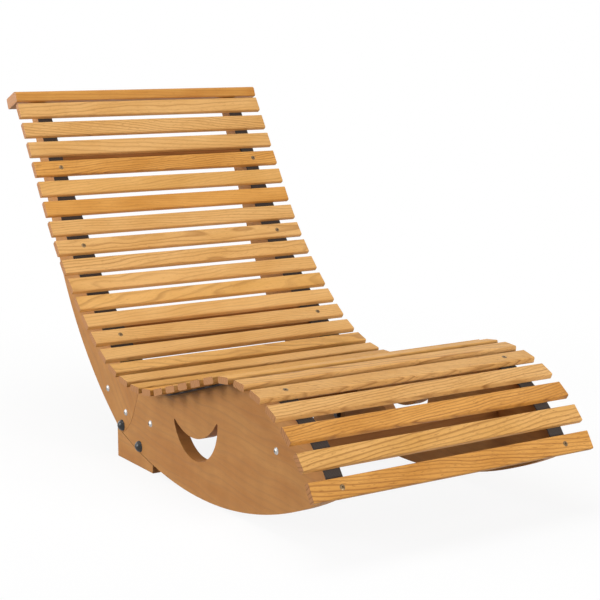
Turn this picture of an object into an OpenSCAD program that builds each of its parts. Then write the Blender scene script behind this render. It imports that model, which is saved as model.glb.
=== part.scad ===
// Slatted outdoor rocking lounger. Thirty wood slats lie on two straps, and
// the straps lie on two curved side frames joined by cross rails. Slats run
// along X, the foot is at -Y, the head at +Y and the floor is at Z = 0.
// Sizes along Y are first laid out from the line where the rockers touch the
// floor; every piece is then moved so that the origin is under the middle.

/* [Seat curve] */
// recline of the straight back, degrees above the floor
back_angle = 57.7; // [50:0.1:65]
// length of the straight stretch below the head bar
back_straight = 236; // [150:1:300]
// radius of the long easy bend down the back
back_radius = 913.5; // [700:0.5:1200]
// turn of the long easy bend, degrees
back_turn = 21.7; // [15:0.1:28]
// radius of the bend that holds the hips
hip_radius = 311.5; // [250:0.5:400]
// turn of the hip bend, degrees
hip_turn = 53; // [40:0.5:60]
// length of the straight stretch under the thighs
thigh_straight = 203; // [120:1:260]
// radius of the bend over the knees
knee_radius = 277.5; // [220:0.5:340]
// distance of the seat's lowest point behind the rocker's floor line
low_y = 154.1; // [120:0.1:190]
// height of the seat's lowest point above the floor
low_z = 175.2; // [150:0.1:200]

/* [Slats] */
// length of a slat, which is the width of the chair
slat_length = 600; // [500:1:700]
// width of a slat along the seat curve
slat_width = 34.6; // [25:0.1:40]
// thickness of a slat
slat_thick = 12.5; // [10:0.5:20]
// radius of a slat's long edges
slat_round = 3; // [0.5:0.5:4]
// number of slats spaced at the back pitch
back_slats = 13; // [8:1:16]
// number of slats spaced at the seat pitch
seat_slats = 10; // [6:1:14]
// number of slats spaced at the knee pitch
knee_slats = 7; // [4:1:10]
// distance between slats on the back
back_pitch = 47.5; // [42:0.1:60]
// distance between slats on the seat
seat_pitch = 50.3; // [42:0.1:60]
// distance between slats over the knees
knee_pitch = 52; // [42:0.1:60]

/* [Straps] */
// distance of each strap, panel and screw line from the middle
side_x = 240; // [180:1:270]
// thickness of the strap
strap_thick = 3.5; // [1.5:0.1:4]
// width of the strap under the seat
strap_wide = 50; // [30:1:60]
// width of the strap at the head and at the foot
strap_narrow = 33; // [26:1:50]
// last slat of the narrow stretch at the head
head_narrow_to = 4; // [2:1:6]
// first slat of the full width below the head
head_wide_from = 7; // [5:1:12]
// last slat of the full width above the foot
foot_wide_to = 24; // [20:1:26]
// first slat of the narrow stretch at the foot
foot_narrow_from = 27; // [25:1:29]

/* [Side frames] */
// thickness of the panels and stop blocks
panel_thick = 25; // [18:1:35]
// radius of the rocker's lower edge
rocker_radius = 927; // [700:1:1200]
// length cut off the rocker's toe, up the strap line from the last slat
toe_cut = 8; // [0:1:20]
// depth of the back panel under the head bar
top_depth = 46.8; // [35:0.1:60]
// angle of the rear edge at the head, degrees above the floor
rear_angle = 66.5; // [55:0.1:75]
// length of the straight stretch of the rear edge
rear_straight = 308; // [200:1:380]
// radius of the rear edge's bend
rear_radius = 806; // [600:1:1100]
// turn of the rear edge's bend, degrees
rear_turn = 29.65; // [20:0.05:36]
// distance of the seam's bend in front of the frame's rear tip
seam_ahead = 66.6; // [50:0.1:90]
// height of the seam's bend above the frame's rear tip
seam_up = 42.4; // [30:0.1:60]
// slope of the seam above its bend, degrees
seam_angle = 63.4; // [50:0.1:80]
// radius of the seam's bend
seam_radius = 107; // [60:1:160]
// turn of the seam's bend, degrees
seam_turn = 38; // [20:1:50]
// gap seen between the pieces of a side frame
seam_gap = 0.8; // [0.2:0.1:1.5]

/* [Stop blocks] */
// distance of the stop block's front end from the frame's rear tip
block_ahead = 147.6; // [120:0.1:180]
// how far the stop block runs behind the frame's rear tip
block_behind = 7.4; // [0:0.1:20]
// distance of the half-thick tongue from the block's front end
tongue_back = 34; // [20:1:60]
// height of the tongue above the rocker's edge
tongue_height = 26; // [20:1:34]
// clearance around the tongue
tongue_clear = 0.3; // [0.1:0.1:1]

/* [Cut-out] */
// place of the cut-out's lower circle, from the floor line
smile_y = 8.5; // [-40:0.5:40]
// height of the cut-out's lower circle
smile_z = 153.6; // [130:0.1:180]
// radius of the cut-out's lower edge
smile_radius = 85.4; // [60:0.1:100]
// lean of the cut-out towards the head, degrees
smile_lean = 8.8; // [0:0.1:15]
// distance between the two circles of the cut-out
smile_step = 72.7; // [50:0.1:90]
// radius of the cut-out's upper edge
brow_radius = 115.1; // [90:0.1:140]
// radius of the cut-out's rounded tips
smile_tip = 2.8; // [2:0.1:5]

/* [Head bar] */
// depth of the head bar from front to back
bar_depth = 54; // [40:1:70]
// thickness of the head bar
bar_thick = 24; // [18:1:32]
// slope of the head bar down to the rear, degrees
bar_tilt = 21.4; // [10:0.1:35]
// gap between the head bar and the first slat
bar_gap = 4; // [1:0.5:6]
// radius of the head bar's upper front edge
bar_nose = 8; // [3:0.5:11]
// radius of the head bar's other edges
bar_round = 3; // [1:0.5:6]

/* [Rails] */
// thickness of the cross rails
rail_thick = 22; // [16:1:28]
// width of the two back rails and the rear rail
rail_width = 60; // [45:1:75]
// slat gap in front of the upper back rail, counted from the head
upper_rail_gap = 3; // [2:1:5]
// how far the upper back rail sits above the middle of that gap
upper_rail_up = 8; // [0:1:15]
// slat gap in front of the lower back rail, counted from the head
lower_rail_gap = 12; // [10:1:13]
// how far the lower back rail sits above the middle of that gap
lower_rail_up = -15; // [-25:1:10]
// gap between the back rails and the strap line
rail_back_gap = 2; // [0.5:0.5:5]
// distance of the rear rail's screw behind the frame's rear tip
rear_screw_behind = 48.4; // [35:0.1:60]
// height of the rear rail's screw above the frame's rear tip
rear_screw_up = 72.9; // [60:0.1:90]
// lean of the rear rail, degrees above the floor
rear_rail_lean = 37; // [20:1:50]
// distance of the seam board's rear screw behind the seam's bend
seam_screw_behind = 34; // [20:1:50]
// distance of the seam board's front screw in front of the seam's bend
seam_screw_ahead = 74; // [55:1:90]
// how far the seam board's screws lie below the seam's bend
seam_screw_drop = 3.2; // [0:0.1:10]
// wood left beyond each screw of the seam board
seam_board_edge = 21; // [15:1:30]
// distance of the front rail's screw behind the last slat
front_screw_behind = 169.9; // [140:0.1:190]
// height of the front rail's screw above the last slat's back face
front_screw_up = 25.7; // [15:0.1:40]
// height of the front rail
front_rail_width = 70; // [50:1:90]

/* [Fasteners] */
// slats that are screwed down, counted from the head
screwed_slats = [4, 8, 13, 26, 30];
// diameter of a slat screw's shank
slat_screw_d = 4; // [3:0.5:5]
// diameter of a slat screw's countersunk head
slat_head_d = 10; // [7:0.5:12]
// length of a slat screw
slat_screw_length = 45; // [35:1:50]
// diameter of a rail screw's shank
rail_screw_d = 5; // [4:0.5:7]
// length of a rail screw's shank
rail_screw_length = 62; // [50:1:80]
// diameter of a rail screw's head
rail_head_d = 13.5; // [9:0.5:15]
// height of a rail screw's head
rail_head_h = 3.8; // [2:0.1:5]
// diameter of a joint bolt
bolt_d = 8; // [6:1:10]
// distance of the rear bolt in front of the frame's rear tip
rear_bolt_ahead = 14.1; // [8:0.1:25]
// depth of the rear bolt inside the rocker's edge
rear_bolt_in = 12.8; // [10:0.1:16]
// distance of the front bolt in front of the frame's rear tip
front_bolt_ahead = 91.1; // [80:0.1:110]
// depth of the front bolt inside the rocker's edge
front_bolt_in = 10.9; // [10:0.1:16]
// diameter of a bolt head
bolt_head_d = 12; // [11:0.5:14]
// height of a bolt head
bolt_head_h = 3.2; // [2.5:0.1:4]
// diameter of a bolt cap
cap_d = 23.5; // [18:0.5:26]
// height of a bolt cap
cap_h = 9.5; // [5:0.1:12]
// width of a nut across its corners
nut_d = 15; // [12:0.5:17]
// height of a nut
nut_h = 6.5; // [4:0.5:8]
// diameter of a washer
washer_d = 18; // [16:0.5:22]
// thickness of a washer
washer_h = 1.6; // [1:0.1:2]
// diameter of the wood dowels
dowel_d = 10; // [6:1:12]
// length of the wood dowels
dowel_length = 36; // [24:1:40]
// distance of a dowel from the middle of its rail
dowel_offset = 20; // [12:1:24]
// depth of a rail dowel in its panel
dowel_in_panel = 15; // [8:1:20]
// distance of the head dowels behind the head bar's front edge
head_dowel_y = 32.5; // [28:0.5:38]
// clearance of screws, bolts and dowels in their holes, on the radius
hole_clear = 0.1; // [0.05:0.05:0.3]
// gap left beyond the end of a screw or dowel
end_clear = 1; // [0.5:0.5:3]

/* [Colours] */
// colour of the slats
slat_colour = "#DEA65C";
// colour of the side frames and rails
panel_colour = "#B98255";
// colour of the head bar
bar_colour = "#C88B43";
// colour of the straps
strap_colour = "#464B50";
// colour of the slat screws
bronze_colour = "#7A5230";
// colour of the rail screws, nuts and washers
steel_colour = "#C9C9C9";
// colour of the bolt caps
cap_colour = "#1E1B19";
// colour of the dowels
dowel_colour = "#D9BC8C";

/* [Part] */
// sub-part to draw

/* [Hidden] */
$fn = 64;
overcut = 1;
reach = slat_length / 3;
arc_step = 1.5;
slats = back_slats + seat_slats + knee_slats;
inner_x = side_x - panel_thick / 2;
outer_x = side_x + panel_thick / 2;

// A place on an outline is [y, z, heading]. Moving on by a length, with a turn
// in degrees spread evenly over it, gives the next place.
function ahead(p, length, turn) =
    turn == 0
        ? [p.x + length * cos(p.z), p.y + length * sin(p.z), p.z]
        : let (r = length / (turn * PI / 180))
          [p.x + r * (sin(p.z + turn) - sin(p.z)),
           p.y - r * (cos(p.z + turn) - cos(p.z)),
           p.z + turn];

function arc_length(radius, turn) = radius * turn * PI / 180;

// The seat curve runs along the back of the slats, from the head to the foot.
// It starts where it has to for its lowest point, in the hip bend, to be in place.
low_turn = back_angle - back_turn;
head_run = ahead([0, 0, back_angle - 180], back_straight, 0);
back_run = ahead(head_run, arc_length(back_radius, back_turn), -back_turn);
low_run = ahead(back_run, arc_length(hip_radius, low_turn), -low_turn);
seat_start = [low_y - low_run.x, low_z - low_run.y, back_angle - 180];
knee_turn = 120;
bends = [
    [back_straight, 0],
    [arc_length(back_radius, back_turn), -back_turn],
    [arc_length(hip_radius, hip_turn), -hip_turn],
    [thigh_straight, 0],
    [arc_length(knee_radius, knee_turn), knee_turn]
];

function seat_at(s, k = 0, p = seat_start) =
    k == len(bends) - 1 || s <= bends[k][0]
        ? ahead(p, s, bends[k][1] * s / bends[k][0])
        : seat_at(s - bends[k][0], k + 1, ahead(p, bends[k][0], bends[k][1]));

// Slats are counted from 1 at the head; a half number is a gap's middle.
function slat_place(i) =
    let (n = i - 1, a = back_slats - 1, b = a + seat_slats)
    min(n, a) * back_pitch
        + max(min(n, b) - a, 0) * seat_pitch
        + max(n - b, 0) * knee_pitch;

function slat_at(i) = seat_at(slat_place(i));

// Point in the side view from a place: u towards the head, v to the sitter.
function from(p, u, v) =
    [p.x - u * cos(p.z) + v * sin(p.z), p.y - u * sin(p.z) - v * cos(p.z)];

half_slat = slat_width / 2;
function flat(places) = [for (p = places) [p.x, p.y]];
function strap_line(v) = [
    for (i = [1 : slats], side = [1, -1]) from(slat_at(i), side * half_slat, v)
];

// The head bar's lower front edge, and the direction of its underside.
bar_edge = from(slat_at(1), half_slat + bar_gap, slat_thick);
bar_frame = [bar_edge.x, bar_edge.y, 180 - bar_tilt];

// The rear edge of a side frame, grown outwards: its start at the head bar, a
// place on its bend, and the whole line.
function rear_top(grow) =
    let (top = from(bar_frame, top_depth, 0), heading = rear_angle - 180)
    [top.x - grow * sin(heading), top.y + grow * cos(heading), heading];
function rear_bend(grow, turn) =
    ahead(ahead(rear_top(grow), rear_straight, 0),
          arc_length(rear_radius + grow, turn), -turn);
function rear_edge(grow) =
    let (steps = ceil(rear_turn / arc_step))
    flat(concat(
        [ahead(rear_top(grow), -reach, 0)],
        [for (k = [0 : steps]) rear_bend(grow, rear_turn * k / steps)],
        [ahead(rear_bend(grow, rear_turn), reach, 0)]
    ));

// The rear tip is where the rear edge's low straight leaves the rocker's circle.
low_edge = rear_bend(0, rear_turn);
low_way = [cos(low_edge.z), sin(low_edge.z)];
off_centre = [low_edge.x, low_edge.y - rocker_radius];
off_along = off_centre * low_way;
low_length = sqrt(pow(off_along, 2) + pow(rocker_radius, 2) - off_centre * off_centre) - off_along;
rear_tip = [low_edge.x, low_edge.y] + low_length * low_way;

// Point in the side view at y, inside the rocker's edge by a depth.
function inside_rocker(y, depth) =
    [y, rocker_radius - sqrt(pow(rocker_radius - depth, 2) - pow(y, 2))];

seam_bend = [rear_tip.x - seam_ahead, rear_tip.y + seam_up];
block_front = rear_tip.x - block_ahead;
block_rear = rear_tip.x + block_behind;
tongue_front = block_front + tongue_back;

// The part's ends in Y, at the last slat's and the head bar's rounded corners,
// and the shift that puts the origin midway.
foot_end = from(slat_at(slats), slat_round - half_slat, slat_thick - slat_round).x - slat_round;
head_end = from(bar_frame, bar_depth - bar_round, bar_thick - bar_round).x + bar_round;
shift_y = -(foot_end + head_end) / 2;

back_nodes = ["left_back_panel", "right_back_panel"];
rocker_nodes = ["left_rocker_panel", "right_rocker_panel"];
block_nodes = ["left_stop_block", "right_stop_block"];
strap_nodes = ["left_strap", "right_strap"];
function two_digits(i) = i < 10 ? str("0", i) : str(i);
slat_nodes = [for (i = [1 : slats]) str("slat_", two_digits(i))];

// Moves a piece from the rocker's floor line to the part's own origin.
module placed() {
    translate([0, shift_y, 0]) children();
}

// Local +X along the slats, +Y towards the head, +Z towards the sitter.
module at_place(p) {
    translate([0, p.x, p.y]) rotate([p.z + 180, 0, 0]) children();
}

// Stands a side-view outline up and draws it out along X from x0 to x1.
module side_solid(x0, x1) {
    translate([x0, 0, 0]) rotate([90, 0, 90]) linear_extrude(x1 - x0) children();
}

// Draws a board out to the full length between two faces at -x and +x.
module across(x) {
    side_solid(-x, x) children();
}

// Rod along X, from x0 to x1, at y and z.
module rod(x0, x1, y, z, d) {
    translate([x0, y, z]) rotate([0, 90, 0]) cylinder(h = x1 - x0, d = d);
}

// One piece on each side, the left one at -X.
module both_sides() {
    children();
    mirror([1, 0, 0]) children();
}

// Rectangle from its lower left corner; radii go anticlockwise from there.
module eased_box(w, h, radii) {
    corners = [[0, 0], [1, 0], [1, 1], [0, 1]];
    difference() {
        square([w, h]);
        for (k = [0 : 3])
            translate([corners[k].x * w, corners[k].y * h])
                mirror([corners[k].x, 0])
                    mirror([0, corners[k].y])
                        difference() {
                            translate([-overcut, -overcut]) square(radii[k] + overcut);
                            translate([radii[k], radii[k]]) circle(radii[k]);
                        }
    }
}

// Countersunk hole of a slat screw, from the slat's front face to its tip.
module slat_screw_form(clear) {
    head_h = (slat_head_d - slat_screw_d) / 2;
    top = slat_thick;
    translate([0, 0, top - head_h])
        cylinder(h = head_h, d1 = slat_screw_d + 2 * clear, d2 = slat_head_d + 2 * clear);
    translate([0, 0, top - slat_screw_length - clear])
        cylinder(h = slat_screw_length - head_h + 2 * clear, d = slat_screw_d + 2 * clear);
}

module slat_screw_holes() {
    for (i = screwed_slats)
        for (x = [-side_x, side_x])
            at_place(slat_at(i))
                translate([x, 0, 0]) {
                    slat_screw_form(hole_clear);
                    translate([0, 0, slat_thick])
                        cylinder(h = overcut, d = slat_head_d + 2 * hole_clear);
                }
}

module slat(i) {
    color(slat_colour)
        placed()
            difference() {
                at_place(slat_at(i))
                    across(slat_length / 2)
                        translate([-half_slat, 0])
                            eased_box(slat_width, slat_thick,
                                      [slat_round, slat_round, slat_round, slat_round]);
                if (len(search(i, screwed_slats)) > 0) slat_screw_holes();
            }
}

// What is taken off both sides of a full-width strap to make its narrow ends,
// seen square to the strap: narrow beyond y0, full width from y1.
module strap_taper(y0, y1, y_end) {
    slope = (y1 - y0) / (strap_wide / 2 - strap_narrow / 2);
    for (side = [-1, 1])
        polygon([
            [side * strap_narrow / 2, y_end],
            [side * strap_narrow / 2, y0],
            [side * (strap_wide / 2 + overcut), y1 + slope * overcut],
            [side * (strap_wide / 2 + overcut), y_end]
        ]);
}

module strap(side) {
    back = strap_line(-strap_thick);
    front = strap_line(0);
    count = len(front);
    head_y0 = -slat_place(head_narrow_to + 0.5);
    head_y1 = -slat_place(head_wide_from - 0.5);
    color(strap_colour)
        placed()
            difference() {
                translate([side * side_x, 0, 0])
                    difference() {
                        across(strap_wide / 2)
                            polygon(concat(front, [for (k = [1 : count]) back[count - k]]));
                        at_place(slat_at(1))
                            translate([0, 0, -reach / 2])
                                linear_extrude(reach)
                                    strap_taper(head_y0, head_y1, half_slat + overcut);
                        linear_extrude(2 * reach)
                            strap_taper(slat_at(foot_narrow_from).x,
                                        slat_at(foot_wide_to).x, foot_end - overcut);
                    }
                slat_screw_holes();
            }
}

// Whole side frame in the side view: the strap line in front, the rear edge
// behind and the rocker's circle below.
module side_outline(grow = 0) {
    front = strap_line(-strap_thick);
    rear = rear_edge(grow);
    count = len(rear);
    top = from(slat_at(1), reach, -strap_thick);
    toe = front[len(front) - 1];
    intersection() {
        translate([0, rocker_radius]) circle(rocker_radius + grow, $fn = 180);
        polygon(concat(
            [top], front, [[toe.x, -reach], [rear[count - 1].x, -reach]],
            [for (k = [1 : count]) rear[count - k]]
        ));
    }
}

// Everything above the head bar's underside.
module above_bar() {
    translate([bar_edge.x, bar_edge.y])
        rotate(-bar_tilt)
            translate([-reach, 0]) square([3 * reach, 3 * reach]);
}

// The toe's blunt end, square to the strap.
module beyond_toe() {
    p = slat_at(slats);
    u = toe_cut - half_slat;
    polygon([
        from(p, u, overcut), from(p, u, -reach),
        from(p, u - reach, -reach), from(p, u - reach, overcut)
    ]);
}

// Everything on the head's side of the seam.
module head_side(gap) {
    bend = [seam_bend.x + gap, seam_bend.y, -seam_angle];
    steps = ceil(seam_turn / arc_step / 2);
    turned = [for (k = [0 : steps])
        let (t = seam_turn * k / steps) ahead(bend, arc_length(seam_radius, t), t)];
    low = ahead(turned[steps], reach, 0);
    high = ahead(bend, -reach, 0);
    right = low.x + 5 * reach;
    top = seat_start.y + reach;
    polygon(concat(
        flat(concat([high], turned, [low])),
        [[right, low.y], [right, top], [high.x, top]]
    ));
}

// Ring of wood above the rocker's edge that the block's tongue fills.
module tongue_outline(clear) {
    difference() {
        translate([tongue_front - clear, 0])
            square([block_rear - tongue_front + 2 * clear, reach]);
        translate([0, rocker_radius]) circle(rocker_radius - tongue_height - clear, $fn = 180);
    }
}

// Space behind the panels that takes the tongue, on the +X side.
module tongue_space() {
    side_solid(inner_x - overcut, side_x) tongue_outline(tongue_clear);
}

// Crescent seen from the side. A circle near each tip touches both edges, and
// what lies beyond its middle is left standing. The circle is drawn a little
// larger than that, so that it crosses the two edges.
module smile() {
    tip_swell = 0.2;
    to_lower = smile_radius - smile_tip;
    to_brow = brow_radius + smile_tip;
    tip_z = (pow(smile_step, 2) - pow(to_brow, 2) + pow(to_lower, 2)) / (2 * smile_step);
    tip_y = sqrt(pow(to_lower, 2) - pow(tip_z, 2));
    tip_turn = (atan2(tip_z, tip_y) + atan2(tip_z - smile_step, tip_y)) / 2 + 90;
    translate([smile_y, smile_z])
        rotate(-smile_lean) {
            difference() {
                circle(smile_radius);
                translate([0, smile_step]) circle(brow_radius);
                for (side = [0, 1])
                    mirror([side, 0])
                        translate([tip_y, tip_z])
                            rotate(tip_turn)
                                translate([0, -reach / 2]) square([reach, reach]);
            }
            for (side = [-1, 1])
                translate([side * tip_y, tip_z]) circle(smile_tip + tip_swell);
        }
}

// Places of the screws, bolts and dowels in the side view.
last_slat = slat_at(slats);
rear_screw = [rear_tip.x + rear_screw_behind, rear_tip.y + rear_screw_up];
seam_rear_screw = [seam_bend.x + seam_screw_behind, seam_bend.y - seam_screw_drop];
seam_front_screw = [seam_bend.x - seam_screw_ahead, seam_bend.y - seam_screw_drop];
front_screw = [last_slat.x + front_screw_behind, last_slat.y + front_screw_up];
rail_screw_places = [rear_screw, seam_rear_screw, seam_front_screw, front_screw];
bolt_places = [
    inside_rocker(rear_tip.x - rear_bolt_ahead, rear_bolt_in),
    inside_rocker(rear_tip.x - front_bolt_ahead, front_bolt_in)
];

// Middle and lean of the back rails: in front is the gap between two slats.
rail_v = -strap_thick - rail_back_gap - rail_thick / 2;
function back_rail_frame(gap, up) =
    let (p = slat_at(gap + 0.5), c = from(p, up, rail_v)) [c.x, c.y, p.z];
upper_rail_frame = back_rail_frame(upper_rail_gap, upper_rail_up);
lower_rail_frame = back_rail_frame(lower_rail_gap, lower_rail_up);
rear_rail_frame = [rear_screw.x, rear_screw.y, rear_rail_lean - 180];
front_rail_frame = [front_screw.x, front_screw.y, -90];

// Dowels sit on a rail's long middle line, one each side of its centre.
dowel_places = [
    for (p = [upper_rail_frame, lower_rail_frame, rear_rail_frame, front_rail_frame])
        for (side = [-1, 1]) from(p, side * dowel_offset, 0)
];

module rail_screw_holes() {
    tip = outer_x - rail_screw_length - end_clear;
    both_sides()
        for (p = rail_screw_places)
            rod(tip, outer_x + overcut, p.x, p.y, rail_screw_d + 2 * hole_clear);
}

module bolt_holes() {
    both_sides()
        for (p = bolt_places)
            rod(inner_x - overcut, outer_x + overcut, p.x, p.y, bolt_d + 2 * hole_clear);
}

module rail_dowel_rods(clear, end) {
    both_sides()
        for (p = dowel_places)
            rod(inner_x + dowel_in_panel - dowel_length - end, inner_x + dowel_in_panel + end,
                p.x, p.y, dowel_d + 2 * clear);
}

// Head dowels stand square to the head bar's underside, half in each piece.
module head_dowel_rods(clear, end) {
    for (x = [-side_x, side_x])
        at_place(bar_frame)
            translate([x, head_dowel_y, -dowel_length / 2 - end])
                cylinder(h = dowel_length + 2 * end, d = dowel_d + 2 * clear);
}

module back_panel(side) {
    color(panel_colour)
        placed()
            difference() {
                mirror([side < 0 ? 1 : 0, 0, 0])
                    difference() {
                        side_solid(inner_x, outer_x)
                            difference() {
                                intersection() {
                                    side_outline();
                                    head_side(seam_gap);
                                }
                                above_bar();
                            }
                        tongue_space();
                    }
                slat_screw_holes();
                rail_screw_holes();
                bolt_holes();
                rail_dowel_rods(hole_clear, end_clear);
                head_dowel_rods(hole_clear, end_clear);
            }
}

module rocker_panel(side) {
    color(panel_colour)
        placed()
            difference() {
                mirror([side < 0 ? 1 : 0, 0, 0])
                    difference() {
                        side_solid(inner_x, outer_x)
                            difference() {
                                side_outline();
                                head_side(0);
                                beyond_toe();
                                smile();
                            }
                        tongue_space();
                    }
                slat_screw_holes();
                rail_screw_holes();
                bolt_holes();
                rail_dowel_rods(hole_clear, end_clear);
            }
}

module stop_block(side) {
    color(panel_colour)
        placed()
            difference() {
                mirror([side < 0 ? 1 : 0, 0, 0]) {
                    side_solid(inner_x, outer_x)
                        difference() {
                            translate([block_front, 0])
                                square([block_rear - block_front, reach / 2]);
                            side_outline(seam_gap);
                        }
                    side_solid(inner_x, side_x) tongue_outline(0);
                }
                bolt_holes();
            }
}

module head_bar() {
    color(bar_colour)
        placed()
            difference() {
                at_place(bar_frame)
                    across(slat_length / 2)
                        eased_box(bar_depth, bar_thick,
                                  [bar_round, bar_round, bar_round, bar_nose]);
                head_dowel_rods(hole_clear, end_clear);
            }
}

// Rail with its middle at a place, drilled for its dowels and screws.
module rail(p, width, thick) {
    color(panel_colour)
        placed()
            difference() {
                at_place(p)
                    across(inner_x)
                        translate([-width / 2, -thick / 2])
                            eased_box(width, thick,
                                      [slat_round, slat_round, slat_round, slat_round]);
                rail_dowel_rods(hole_clear, end_clear);
                rail_screw_holes();
            }
}

module seam_board() {
    middle = (seam_rear_screw + seam_front_screw) / 2;
    width = seam_screw_behind + seam_screw_ahead + 2 * seam_board_edge;
    rail([middle.x, middle.y, 180], width, rail_thick);
}

module slat_screws() {
    socket = slat_screw_d / 2;
    color(bronze_colour)
        placed()
            for (i = screwed_slats, x = [-side_x, side_x])
                at_place(slat_at(i))
                    translate([x, 0, 0])
                        difference() {
                            slat_screw_form(0);
                            translate([0, 0, slat_thick - socket])
                                cylinder(h = socket + overcut, r = socket, $fn = 6);
                        }
}

// Domed head on a flat seat at z = 0, with the dome towards +Z.
module dome(d, h) {
    r = (pow(d / 2, 2) + pow(h, 2)) / (2 * h);
    intersection() {
        translate([0, 0, h - r]) sphere(r);
        cylinder(h = h + overcut, d = d);
    }
}

module rail_screws() {
    socket = rail_screw_d / 2;
    color(steel_colour)
        placed()
            both_sides()
                for (p = rail_screw_places) {
                    difference() {
                        union() {
                            translate([outer_x, p.x, p.y]) rotate([0, 90, 0])
                                dome(rail_head_d, rail_head_h);
                            rod(outer_x - rail_screw_length, outer_x + rail_head_h / 4,
                                p.x, p.y, rail_screw_d);
                        }
                        translate([outer_x + rail_head_h / 2, p.x, p.y]) rotate([0, 90, 0])
                            cylinder(h = rail_head_h, r = socket, $fn = 6);
                    }
                }
}

bolt_inner_x = inner_x - washer_h - nut_h;
module joint_bolts() {
    color(steel_colour)
        placed()
            both_sides()
                for (p = bolt_places) {
                    rod(bolt_inner_x, outer_x + overcut, p.x, p.y, bolt_d);
                    rod(outer_x, outer_x + bolt_head_h, p.x, p.y, bolt_head_d);
                }
}

module joint_washers() {
    color(steel_colour)
        placed()
            both_sides()
                for (p = bolt_places)
                    difference() {
                        rod(inner_x - washer_h, inner_x, p.x, p.y, washer_d);
                        rod(inner_x - 2 * washer_h, outer_x, p.x, p.y, bolt_d + 2 * hole_clear);
                    }
}

module joint_nuts() {
    color(steel_colour)
        placed()
            both_sides()
                for (p = bolt_places)
                    difference() {
                        translate([bolt_inner_x, p.x, p.y]) rotate([0, 90, 0])
                            cylinder(h = nut_h, d = nut_d, $fn = 6);
                        rod(bolt_inner_x - overcut, outer_x, p.x, p.y, bolt_d + 2 * hole_clear);
                    }
}

module bolt_caps() {
    cap_room = 0.4;
    color(cap_colour)
        placed()
            both_sides()
                for (p = bolt_places)
                    difference() {
                        translate([outer_x, p.x, p.y]) rotate([0, 90, 0]) dome(cap_d, cap_h);
                        rod(outer_x - overcut, outer_x + bolt_head_h + cap_room,
                            p.x, p.y, bolt_head_d + 2 * hole_clear);
                    }
}

module rail_dowels() {
    color(dowel_colour) placed() rail_dowel_rods(0, 0);
}

module head_dowels() {
    color(dowel_colour) placed() head_dowel_rods(0, 0);
}

head_bar();
for (i = [1 : slats]) slat(i);
for (k = [0, 1]) strap(2 * k - 1);
for (k = [0, 1]) back_panel(2 * k - 1);
for (k = [0, 1]) rocker_panel(2 * k - 1);
for (k = [0, 1]) stop_block(2 * k - 1);
rail(upper_rail_frame, rail_width, rail_thick);  // upper_back_rail
rail(lower_rail_frame, rail_width, rail_thick);  // lower_back_rail
rail(rear_rail_frame, rail_width, rail_thick);  // rear_rail
seam_board();
rail(front_rail_frame, front_rail_width, rail_thick);  // front_rail
slat_screws();
rail_screws();
joint_bolts();
joint_washers();
joint_nuts();
bolt_caps();
rail_dowels();
head_dowels();
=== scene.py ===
"""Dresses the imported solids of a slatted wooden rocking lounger, and sets up its studio.

Lengths that end in _mm are millimetres; Blender's own units are metres. The row frame has X along the
slats, Y towards the head and Z up, with the floor at Z = 0.
"""

import math

import bmesh
import bpy
import numpy as np
from mathutils import Euler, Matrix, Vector


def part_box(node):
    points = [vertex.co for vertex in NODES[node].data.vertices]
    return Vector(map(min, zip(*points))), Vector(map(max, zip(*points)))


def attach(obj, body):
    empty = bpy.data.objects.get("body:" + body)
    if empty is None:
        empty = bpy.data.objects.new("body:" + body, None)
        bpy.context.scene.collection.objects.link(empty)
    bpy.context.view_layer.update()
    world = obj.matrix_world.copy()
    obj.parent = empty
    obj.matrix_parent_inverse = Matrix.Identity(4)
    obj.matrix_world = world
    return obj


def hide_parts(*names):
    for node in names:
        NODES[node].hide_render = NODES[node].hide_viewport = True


bl_info = {
    "name": "Slatted rocking lounger",
    "version": (1, 0, 0),
    "blender": (4, 5, 0),
    "location": "3D View > Sidebar > Lounger",
    "description": "Dresses the solids of a slatted wooden rocking lounger and sets up its studio",
    "category": "Add Mesh",
}

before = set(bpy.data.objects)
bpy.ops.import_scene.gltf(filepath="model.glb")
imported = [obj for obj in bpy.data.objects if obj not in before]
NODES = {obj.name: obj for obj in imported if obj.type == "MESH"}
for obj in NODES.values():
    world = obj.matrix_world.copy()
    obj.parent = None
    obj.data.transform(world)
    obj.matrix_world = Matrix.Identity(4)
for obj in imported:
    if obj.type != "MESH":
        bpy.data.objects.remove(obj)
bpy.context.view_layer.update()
MM = 0.001

# The seat curve runs along the backs of the slats: the head's straight, the back's bend, the hip's bend,
# the seat's straight and the knees' bend. Angles and turns are in degrees. Its lowest point, in the hip
# bend, is the one that holds it in place, and is given from the rocker's floor line.
BACK_ANGLE, BACK_TURN, HIP_TURN, KNEE_TURN = 57.7, 21.7, 53.0, 120.0
BACK_RADIUS_MM, HIP_RADIUS_MM, KNEE_RADIUS_MM = 913.5, 311.5, 277.5
BACK_STRAIGHT_MM, SEAT_STRAIGHT_MM = 236.0, 203.0
LOW_Y_MM, LOW_Z_MM = 154.1, 175.2
# [length mm, turn degrees] of each stretch.
STRETCHES = [
    (BACK_STRAIGHT_MM, 0.0),
    (math.radians(BACK_TURN) * BACK_RADIUS_MM, -BACK_TURN),
    (math.radians(HIP_TURN) * HIP_RADIUS_MM, -HIP_TURN),
    (SEAT_STRAIGHT_MM, 0.0),
    (math.radians(KNEE_TURN) * KNEE_RADIUS_MM, KNEE_TURN),
]
# Added to Y so that the origin is under the middle of the chair.
SHIFT_Y_MM = -145.473
# How many spacings there are between slats down the back, round the seat and over the knees, and how
# wide each is.
SPACINGS_MM = [(12, 47.5), (10, 50.3), (7, 52.0)]
SLAT_WIDTH_MM, SLAT_THICK_MM = 34.6, 12.5
SCREWED_SLATS = (4, 8, 13, 26, 30)
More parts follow.
